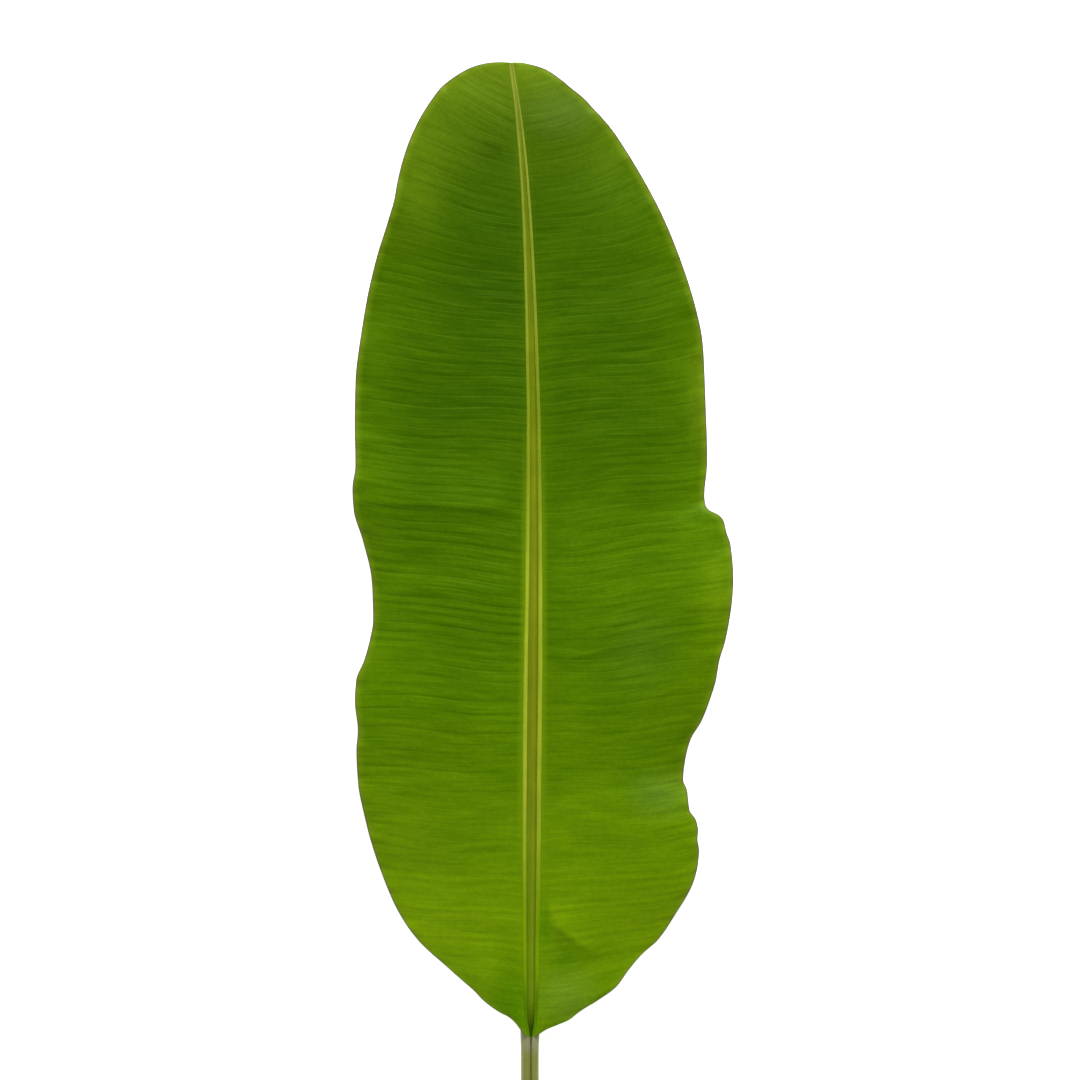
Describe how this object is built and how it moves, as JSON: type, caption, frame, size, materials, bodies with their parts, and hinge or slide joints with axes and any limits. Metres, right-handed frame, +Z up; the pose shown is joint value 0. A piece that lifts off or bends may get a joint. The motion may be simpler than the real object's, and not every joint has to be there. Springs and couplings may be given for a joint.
{
  "type": "banana leaf",
  "caption": "Whole fresh banana leaf lying face up, with a grooved stalk and midrib, a blade pleated along its side veins, and waved margins.",
  "frame": {"origin": "on the surface that the leaf lies on, under the middle of its length and width", "axes": "+Y along the midrib towards the leaf's tip, +Z up out of the upper face"},
  "size_m": [0.379, 1.1425, 0.0297],
  "materials": {
    "leaf_green": "supple waxy green leaf with a satin surface"
  },
  "bodies": {
    "root": {"banana_leaf": "leaf_green"}
  },
  "joints": []
}
